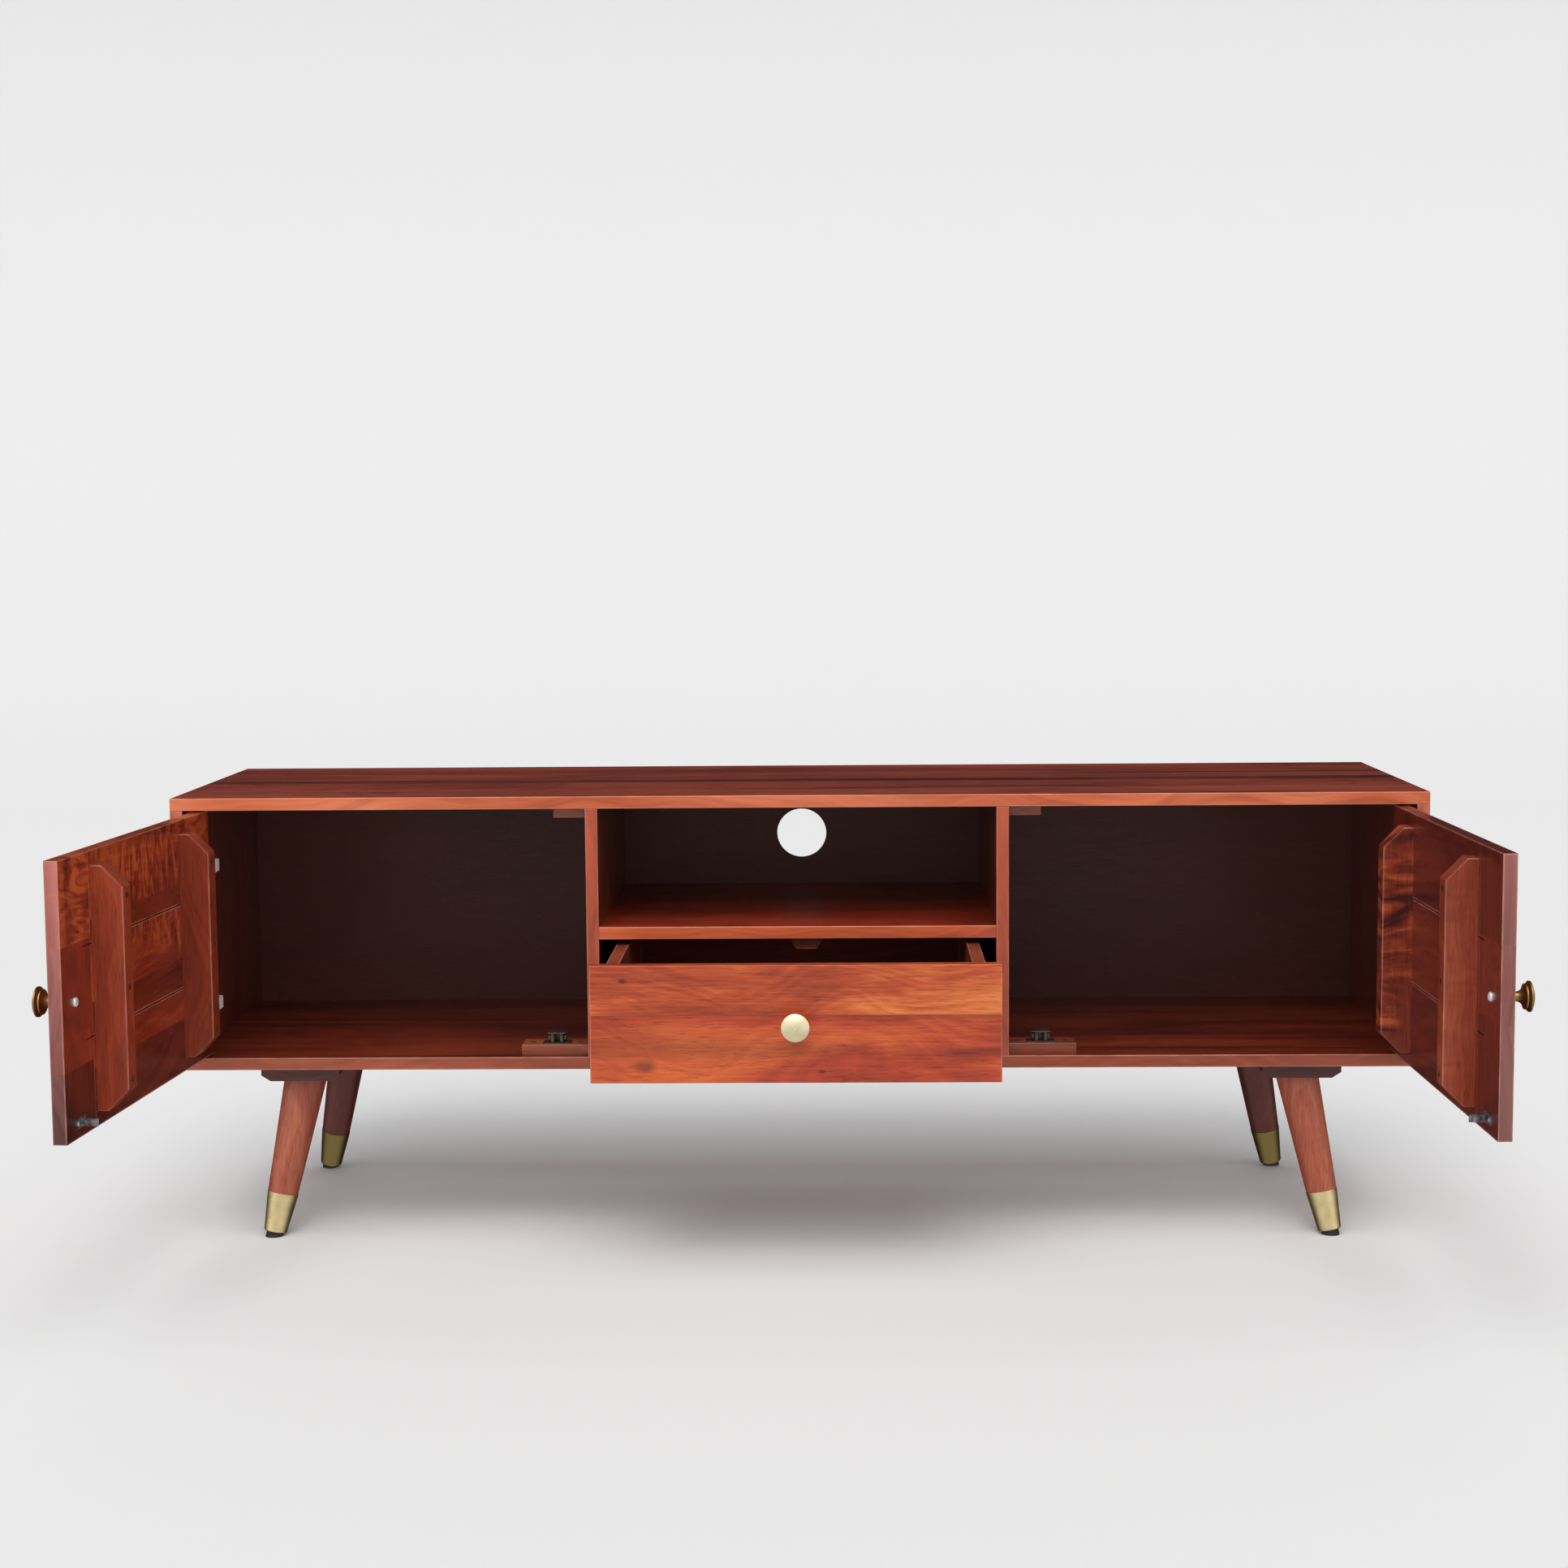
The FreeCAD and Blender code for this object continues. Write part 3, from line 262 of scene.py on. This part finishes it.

# %% [markdown]
# ## One recipe for every board
# The tone of each stave, the clouds, the rings and the fibres add up to one value, and a ramp turns that
# value into the stain's shades. Heartwood, pores and knots are then laid over it, then a band of other
# colour on one face, which on a door's free edge is a painted reflection, then pale arrises, partly real
# wear and partly a painted highlight, and a clear coat goes on last.

# %% Wood
def stained_wood(node, shades, along="x", turn=0.0, staves=None, seed=0.0, cloud=0.45, rings=0.34, flame=0.0,
                 streak=0.35, fibre=0.24, rough=0.30, coat=0.35, edge=None, arris_wear_and_sheen=0.4, loose="", knots=(),
                 curl=(52, 13, 13)):
    """Gives one node its own wood. shades: dark, middle and light hex. along: the axis of the grain, after
    turning the place by turn degrees. staves: (axis, low, high, steps). cloud, rings, flame, streak and
    fibre: how strong each pattern is, with flame on the lighter staves only. curl: how often the flame
    repeats in a metre, each way. edge: (axis, at, inward, hexes) of a band of other colour on one face; on
    an x edge it runs from the first hex at the bottom to the second at the top as a painted reflection.
    arris_wear_and_sheen: how pale the arrises are, partly real wear and partly a painted highlight. loose:
    axes whose ends are joints, where a capital letter means the low end only. knots: (x, z, radius,
    darkness). The rings bend round each, and one without darkness is only a bend."""
    material, tree = new_material("stained " + node.replace("_", " "))
    low, high = straight_box(node, turn)
    centre = (low + high) / 2
    place = add(tree, "ShaderNodeTexCoord").outputs["Object"]
    straight = turned(tree, place, turn)
    axes = add(tree, "ShaderNodeSeparateXYZ", {"Vector": straight}).outputs
    axis, start, end, steps = staves or ("z", 0.0, 1.0, [(0.0, 0.5), (0.5, 0.5)])
    tone = tone_by_place(tree, axes[axis.upper()], start, end, steps)
    shift = add(tree, "ShaderNodeMath", {0: tone, 1: 7.3, 2: seed}, operation="MULTIPLY_ADD").outputs[0]
    a, b, c = ORDER[along]
    pith = (0.05 * math.sin(seed * 2.3), 0.06 + 0.03 * math.cos(seed * 1.7))
    log = add(tree, "ShaderNodeCombineXYZ", {
        "X": maths(tree, "ADD", axes[a], shift),
        "Y": maths(tree, "ADD", axes[b], pith[0] - centre[b]),
        "Z": maths(tree, "ADD", axes[c], pith[1] - centre[c])}).outputs[0]

    def stretched(scale):
        return add(tree, "ShaderNodeVectorMath", {0: log, 1: scale}, operation="MULTIPLY").outputs[0]

    def noise(vector, detail=3.0, warp=0.0, output="Fac"):
        return add(tree, "ShaderNodeTexNoise", {"Vector": vector, "Scale": 1.0, "Detail": detail,
                                                "Distortion": warp}).outputs[output]

    clouds = noise(stretched((2.6, 12, 12)), 4.0, 0.7)
    bend = noise(stretched((3.2, 5, 5)), 2.0, output="Color")
    bent = add(tree, "ShaderNodeVectorMath", {0: bend, 1: (0.0, 0.16, 0.16), 2: log},
               operation="MULTIPLY_ADD").outputs[0]
    from_pith = add(tree, "ShaderNodeVectorMath", {0: bent, 1: (0, 1, 1)}, operation="MULTIPLY").outputs[0]
    from_pith = add(tree, "ShaderNodeVectorMath", {0: from_pith}, operation="LENGTH").outputs["Value"]
    cores = []
    for x, z, radius, darkness in knots:
        flat = add(tree, "ShaderNodeCombineXYZ", {
            "X": maths(tree, "MULTIPLY", maths(tree, "SUBTRACT", axes["X"], x), 0.55),
            "Z": maths(tree, "SUBTRACT", axes["Z"], z)}).outputs[0]
        away = add(tree, "ShaderNodeVectorMath", {0: flat}, operation="LENGTH").outputs["Value"]
        from_pith = maths(tree, "ADD", from_pith, ranged(tree, away, radius * 2.4, 0, 0.0, radius * 1.5))
        cores.append(ranged(tree, away, radius, radius * 0.35, 0.0, darkness))
    growth = noise(add(tree, "ShaderNodeCombineXYZ", {
        "X": maths(tree, "MULTIPLY", from_pith, RINGS_PER_METRE), "Y": axes[a]}).outputs[0])
    fibres = noise(stretched((26, FIBRES_PER_METRE, FIBRES_PER_METRE)), 2.0)
    pores = ranged(tree, noise(stretched((60, 620, 620)), 1.0), 0.60, 0.72)
    value = ranged(tree, tone, 0, 1, 0.14, 0.86)
    for pattern, weight in ((clouds, cloud * 1.7), (growth, rings * 1.5), (fibres, fibre * 1.4)):
        offset = add(tree, "ShaderNodeMath", {0: pattern, 1: weight, 2: -weight / 2},
                     operation="MULTIPLY_ADD").outputs[0]
        value = maths(tree, "ADD", value, offset)
    if flame:
        curly = ranged(tree, noise(stretched(curl), 4.0, 2.6), 0.34, 0.68, -flame * 0.7, flame)
        where = ranged(tree, noise(stretched((6, 14, 14)), 1.0), 0.36, 0.58)
        where = maths(tree, "MULTIPLY", where, ranged(tree, tone, 0.41, 0.49))
        value = maths(tree, "ADD", value, maths(tree, "MULTIPLY", curly, where))
    colour = add(tree, "ShaderNodeValToRGB", {"Fac": value})
    colour.color_ramp.elements.new(0.5)
    for stop, position, shade in zip(colour.color_ramp.elements, (0.08, 0.5, 0.92), shades):
        stop.position = position
        stop.color = linear(shade)
    stain = colour.outputs["Color"]
    heart = ranged(tree, noise(stretched((1.3, 30, 30)), 3.0, 0.3), 0.58, 0.72, 0.0, streak)
    stain = blended(tree, heart, stain, HEARTWOOD)
    stain = blended(tree, maths(tree, "MULTIPLY", pores, 0.34), stain, PORE)
    for core in cores:
        stain = blended(tree, core, stain, KNOT)
    if edge:
        axis, at, inward, hexes = edge
        # On an x edge, a door's free edge, the band runs from the first hex at the bottom to the second at
        # the top: a painted reflection of the dark floor below and the pale lights above. On other edges it
        # drifts with the clouds.
        drift = ranged(tree, axes["Z"], 0.22, 0.53) if axis == "x" else ranged(tree, clouds, 0.38, 0.62)
        pale = blended(tree, drift, linear(hexes[0]), linear(hexes[1]))
        grained = ranged(tree, maths(tree, "ADD", growth, clouds), 0.75, 1.25, 0.42, 0.98)
        there = ranged(tree, axes[axis.upper()], at + inward, at)
        stain = blended(tree, maths(tree, "MULTIPLY", there, grained), stain, pale)
    # Pale arrises: partly real wear and partly a painted highlight where the lacquer on a rounded arris
    # catches the light.
    if arris_wear_and_sheen:
        for axis in loose:
            low["xyz".index(axis.lower())] -= 1
            if axis.islower():
                high["xyz".index(axis)] += 1
        arris_wear_sheen_mask = ranged(tree, near_arris(tree, straight, low, high), ARRIS_SHEEN_FROM, ARRIS_SHEEN_FULL)
        patchy = ranged(tree, noise(stretched((40, 40, 40)), 2.0), 0.35, 0.65, arris_wear_and_sheen * 0.4, arris_wear_and_sheen)
        stain = blended(tree, maths(tree, "MULTIPLY", arris_wear_sheen_mask, patchy), stain, ARRIS_WEAR_AND_HIGHLIGHT)
    height = add(tree, "ShaderNodeMath", {0: growth, 1: 0.3, 2: fibres}, operation="MULTIPLY_ADD").outputs[0]
    bump = add(tree, "ShaderNodeBump", {"Height": height, "Strength": 0.12, "Distance": 0.0006})
    shader = add(tree, "ShaderNodeBsdfPrincipled", {
        "Base Color": stain, "Roughness": ranged(tree, fibres, 0.3, 0.7, rough, rough + 0.14),
        "Normal": bump.outputs[0], "IOR": 1.5, "Specular IOR Level": 0.35,
        "Coat Weight": coat, "Coat Roughness": 0.16, "Coat IOR": 1.45})
    finish_material(tree, shader)
    dress(material, node)

# %% [markdown]
# ## The carcass boards
# The top is glued from staves 35 to 90 mm wide that run its whole length. The stain took unevenly, so some
# are nearly black brown and some are red. The front edges are lighter, almost salmon. That is a change of
# colour at the front plane, so it is mixed in by position.

# %% Carcass
low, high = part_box("top_panel")
FRONT = low.y
SIDES = ("left", "right")


def front_edge(pale, shade):
    """The paler wood on a board's front edge, drifting from shade to pale along it."""
    return ("y", FRONT, EDGE_SKIN, (shade, pale))


stained_wood("top_panel", ("#35100C", "#8C3522", "#B65238"), seed=1.0, streak=0.85, fibre=0.34,
             staves=("y", low.y, high.y, [(0.0, 0.66), (0.22, 0.5), (0.43, 0.16), (0.52, 0.55), (0.74, 0.36),
                                          (0.88, 0.6)]), edge=front_edge("#E27E56", "#D4642E"))
stained_wood("bottom_panel", ("#34100A", "#782A18", "#A24628"), seed=4.0, streak=0.7, cloud=0.6,
             staves=("y", low.y, high.y, [(0.0, 0.55), (0.3, 0.4), (0.55, 0.7), (0.8, 0.45)]),
             edge=front_edge("#AA583C", "#94422A"))
stained_wood("centre_shelf", ("#3A0E08", "#962E18", "#C4502A"), seed=6.0, streak=0.75, cloud=0.7, loose="x",
             edge=front_edge("#E87440", "#C8583A"))
for index, side in enumerate(SIDES):
    stained_wood("side_panel_" + side, ("#34120C", "#6C2A1A", "#8E4028"), along="z", seed=8.0 + index,
                 edge=front_edge("#DE8264", "#CC6444"), loose="z")
    stained_wood("divider_" + side, ("#34140C", "#70301E", "#94482E"), along="z", seed=11.0 + index,
                 edge=front_edge("#C85E3E", "#B84A2A"), loose="z")
stained_wood("back_panel", ("#3C1A14", "#5E2C20", "#70392A"), seed=14.0, cloud=0.25, rings=0.08,
             streak=0.12, rough=0.42, coat=0.1, arris_wear_and_sheen=0)
print("carcass boards stained")

# %% [markdown]
# ## The legs and the blocks under the case
# A leg is turned from one stick, so its grain runs down it. The rear pair is given darker shades than the
# front pair as painted shade, since the rear legs stand in the cabinet's shadow. The blocks are plain
# stained offcuts.

# %% Legs
# The rear shades are painted shade: darker than the front pair's, standing for the cabinet's shadow on the
# rear legs.
leg_stain_with_rear_painted_shade = {"front": ("#4E2016", "#A65036", "#D2805C"), "rear": ("#2C100C", "#642618", "#8C4028")}
for index, corner in enumerate(("front_left", "front_right", "rear_left", "rear_right")):
    stained_wood("leg_" + corner, leg_stain_with_rear_painted_shade[corner.split("_")[0]], along="z", seed=20.0 + index * 1.7,
                 cloud=0.4, streak=0.3, arris_wear_and_sheen=0)
stained_wood("leg_blocks", ("#2A1210", "#552822", "#74402F"), seed=27.0, arris_wear_and_sheen=0)
stained_wood("door_stops", ("#4A221A", "#8A4A38", "#A8664E"), seed=28.0, arris_wear_and_sheen=0)
stained_wood("catch_blocks", ("#4C1E14", "#94482F", "#B86A48"), seed=29.0, arris_wear_and_sheen=0)
stained_wood("drawer_guides", ("#2E120C", "#5C2A1C", "#7C402C"), along="y", seed=31.0, arris_wear_and_sheen=0)
stained_wood("drawer_stop_block", ("#4A1C10", "#7C3A26", "#98523A"), along="y", seed=32.0, arris_wear_and_sheen=0.3)
print("legs and blocks stained")

# %% [markdown]
# ## The doors
# Inside, each door shows two upright boards, three level boards with open seams, and two battens. The
# boards came from different parts of the tree: some have a bright orange flame, some are plain and dark.
# The pattern is turned with the open door, so the grain follows its edges at every pose.

# %% Doors
OPEN = {"left": 94.2, "right": -90.9}        # degrees that turn each open door's boards square to the axes
low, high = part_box("left_door_free_stile")
door_low, door_high = low.z, high.z
FIGURED = ("#3A0E08", "#8E2E16", "#C05426")
PLAIN = ("#340E0A", "#702216", "#A24024")
# Each board: its shades, its grain's axis, the tone from each share of the door's height on, flame, seed.
door_looks = {
    "left_door_free_stile": (FIGURED, "z", [(0.0, 0.12), (0.25, 0.40), (0.37, 0.30), (0.69, 0.70)], 0.6,
                             40.0),
    "left_door_hinge_stile": (FIGURED, "z", [(0.0, 0.15), (0.5, 0.35), (0.8, 0.8)], 0.35, 43.0),
    "left_door_board_lower": (FIGURED, "x", [(0.0, 0.14), (0.21, 0.5)], 0.1, 46.0),
    "left_door_board_middle": (FIGURED, "x", [(0.0, 0.2), (0.45, 0.62)], 0.45, 49.0),
    "left_door_board_upper": (FIGURED, "x", [(0.0, 0.3), (0.75, 0.60)], 0.45, 52.0),
    "right_door_free_stile": (PLAIN, "z", [(0.0, 0.35), (0.4, 0.55), (0.68, 0.35)], 0.1, 55.0),
    "right_door_hinge_stile": (PLAIN, "z", [(0.0, 0.3), (0.6, 0.4)], 0.1, 58.0),
    "right_door_board_lower": (PLAIN, "x", [(0.0, 0.35), (0.5, 0.45)], 0.0, 61.0),
    "right_door_board_middle": (PLAIN, "x", [(0.0, 0.55), (0.5, 0.5)], 0.0, 64.0),
    "right_door_board_upper": (PLAIN, "x", [(0.0, 0.4), (0.6, 0.5)], 0.0, 67.0),
}


def free_edge_painted_reflections(low, high):
    """The painted reflection on each door's free edge, on the left stile's high side and the right stile's
    low side: greyish dark at the bottom for the floor it would reflect, pale pink at the top for the lights.
    """
    return {"left": ("x", high.x, -EDGE_SKIN, ("#583A38", "#C07870")),
            "right": ("x", low.x, EDGE_SKIN, ("#7E5650", "#A46A62"))}


for name, (shades, along, steps, flame, seed) in door_looks.items():
    side = name.split("_")[0]
    low, high = straight_box(name, OPEN[side])
    edge, loose = None, "x"
    if "free" in name:
        edge, loose = free_edge_painted_reflections(low, high)[side], ""
    stained_wood(name, shades, along=along, turn=OPEN[side], staves=("z", door_low, door_high, steps),
                 flame=flame, seed=seed, cloud=0.4, edge=edge, loose=loose)

# Each batten: its shades, flame and seed.
batten_looks = {
    "left_door_batten_hinge": (("#40140A", "#86321C", "#AC4E28"), 0.0, 70.0),
    "left_door_batten_free": (("#48160C", "#94381E", "#BA5A30"), 0.0, 73.0),
    "right_door_batten_hinge": (("#40100C", "#82301C", "#B4542C"), 0.55, 76.0),
    "right_door_batten_free": (("#46160C", "#903A22", "#B85E36"), 0.1, 79.0),
}
for name, (shades, flame, seed) in batten_looks.items():
    stained_wood(name, shades, along="z", turn=OPEN[name.split("_")[0]], flame=flame, seed=seed, cloud=0.35,
                 streak=0.2, arris_wear_and_sheen=0.3, curl=(24, 9, 9), loose="Y")
print("door boards stained", len(door_looks), "battens", len(batten_looks))

# %% [markdown]
# ## The drawer
# Its front is two boards, a lighter orange one above a redder one. The box behind is plainer.

# %% Drawer
low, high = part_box("drawer_front_upper")
stained_wood("drawer_front_upper", ("#742212", "#B84A22", "#E48442"), seed=85.3, cloud=1.0, rings=0.32,
             streak=0.3, fibre=0.42, loose="z", edge=("z", low.z, 0.0008, ("#4A140C", "#4A140C")),
             knots=((-0.197, 0.346, 0.004, 0.7), (-0.07, 0.330, 0.030, 0.0)))
stained_wood("drawer_front_lower", ("#5E160E", "#B03E20", "#D8682E"), seed=83.1, cloud=1.05, rings=0.30,
             streak=0.3, fibre=0.3, loose="z",
             knots=((-0.172, 0.247, 0.009, 0.55), (-0.120, 0.252, 0.040, 0.0), (0.03, 0.241, 0.003, 0.6)))
for index, side in enumerate(SIDES):
    stained_wood("drawer_side_" + side, ("#4A1C12", "#904430", "#B06248"), along="y", seed=87.0 + index)
stained_wood("drawer_back", ("#34120C", "#6A2C1C", "#88402A"), seed=90.0)
stained_wood("drawer_bottom", ("#34120C", "#6A2C1C", "#88402A"), along="y", seed=92.0, arris_wear_and_sheen=0)
print("drawer boards stained")

# %% [markdown]
# ## Bare dowels
# The dowels are plain beech pegs. They are hidden in their joints, so a pale speckled wood is enough.

# %% Beech
def speckled(name, dark, light, scale, rough, bump, depth):
    """A dull material with a fine even speckle in its colour and its surface."""
    material, tree = new_material(name)
    place = add(tree, "ShaderNodeTexCoord").outputs["Object"]
    grain = add(tree, "ShaderNodeTexNoise", {"Vector": place, "Scale": scale, "Detail": 2.0}).outputs["Fac"]
    relief = add(tree, "ShaderNodeBump", {"Height": grain, "Strength": bump, "Distance": depth})
    finish_material(tree, add(tree, "ShaderNodeBsdfPrincipled", {
        "Base Color": blended(tree, grain, linear(dark), linear(light)), "Roughness": rough,
        "Normal": relief.outputs[0]}))
    return material


dress(speckled("bare beech dowel", "#B8936A", "#DCC09A", 380.0, 0.62, bump=0.2, depth=0.0004),
      "carcass_dowels", "drawer_dowels")

# %% [markdown]
# ## Metals
# The ferrules are thin pale brass, brushed round and lacquered, so light runs down them in a soft band.
# The rear pair is darker as painted shade, for they stand in the cabinet's shadow. The doors' knobs are the
# same metal left to darken, and the drawer's is the same brass painted paler, as a painted reflection of the
# bright lights in front that it faces. The hinges are nickel plated, the screws zinc plated, the roller
# catches have a dark bronze finish, and the strikes are blackened steel. Each is one recipe: a metal colour,
# fine lines or specks that roughen it, and a slow cloud of tarnish.

# %% Metal
def plated(name, bright, dull, rough, lines=(40, 40, 40), cloud=9.0, dull_share=0.5, metal=1.0, dark=None):
    """A metal with tarnish from bright to dull, roughened along the lines. metal: under 1 for a milky
    passivated film. dark: (turn, y, hex), the y past which it has that colour."""
    material, tree = new_material(name)
    place = add(tree, "ShaderNodeTexCoord").outputs["Object"]
    drawn = add(tree, "ShaderNodeVectorMath", {0: place, 1: lines}, operation="MULTIPLY").outputs[0]
    brush = add(tree, "ShaderNodeTexNoise", {"Vector": drawn, "Scale": 10.0, "Detail": 3.0}).outputs["Fac"]
    tarnish = add(tree, "ShaderNodeTexNoise", {"Vector": place, "Scale": cloud * 8, "Detail": 3.0})
    amount = ranged(tree, tarnish.outputs["Fac"], 0.35, 0.7, 0.0, dull_share)
    shown = blended(tree, amount, linear(bright), linear(dull))
    if dark:
        turn, start, code = dark
        back = add(tree, "ShaderNodeSeparateXYZ", {"Vector": turned(tree, place, turn)}).outputs["Y"]
        shown = blended(tree, ranged(tree, back, start, start + 0.001), shown, linear(code))
    gloss = ranged(tree, brush, 0.3, 0.7, rough - 0.05, rough + 0.1)
    grooves = add(tree, "ShaderNodeBump", {"Height": brush, "Strength": 0.06, "Distance": 0.0003})
    finish_material(tree, add(tree, "ShaderNodeBsdfPrincipled", {
        "Base Color": shown, "Metallic": metal, "Roughness": gloss, "Normal": grooves.outputs[0]}))
    return material


# Past y = 0 the rear ferrules turn a darker brass: painted shade for the cabinet's shadow over the rear
# legs.
dress(plated("brushed pale brass", "#F2DDA8", "#CDB57C", 0.38, lines=(2, 2, 120), dull_share=0.6,
             dark=(0, 0.0, "#8C7A48")), "leg_ferrules")
dress(plated("antique brass", "#B8925A", "#7A5A2C", 0.38, dull_share=0.6),
      "left_door_knob", "right_door_knob")
# The drawer knob's paler brass is a painted reflection: the same metal as the door knobs, lightened for the
# bright front lights it faces.
dress(plated("drawer brass with painted reflection", "#FBF0C8", "#E6D8A2", 0.42, dull_share=0.5), "drawer_knob")
dress(plated("nickel plate", "#FFFEFA", "#ECEAE4", 0.45, dull_share=0.4, metal=0.25), "hinge_arms",
      "left_door_hinge_cups", "right_door_hinge_cups")
# The screws through the battens are coloured dark brown, in this depth under a batten's proud face.
SCREW_HEAD_DEPTH = 0.010
for side, turn in OPEN.items():
    proud = straight_box(side + "_door_batten_free", turn)[1].y - SCREW_HEAD_DEPTH
    dress(plated("zinc plated " + side + " door screw", "#FCFDFF", "#C8C9CC", 0.3, metal=0.45,
                 dark=(turn, proud, "#5A3A2C")), side + "_door_screws")
dress(plated("zinc plated screw", "#C9CACC", "#8E8F92", 0.3), "drawer_knob_screw", "cabinet_screws",
      "back_panel_nails", "leg_fixings")
dress(plated("dark bronze catch", "#6E6056", "#332A26", 0.34, metal=0.8), "catch_housings",
      "left_catch_jaw_outer", "left_catch_jaw_inner", "right_catch_jaw_outer", "right_catch_jaw_inner")
dress(plated("blackened steel strike", "#8E898E", "#2C2829", 0.36, cloud=26.0, dull_share=1.0, metal=0.6),
      "left_door_strike", "right_door_strike")

# %% [markdown]
# ## Foot pads
# Each leg stands on a dark rubber pad that shows as a line under the brass.

# %% Rubber
dress(speckled("black rubber pad", "#141312", "#2C2A28", 900.0, 0.7, bump=0.3, depth=0.0002), "leg_glides")
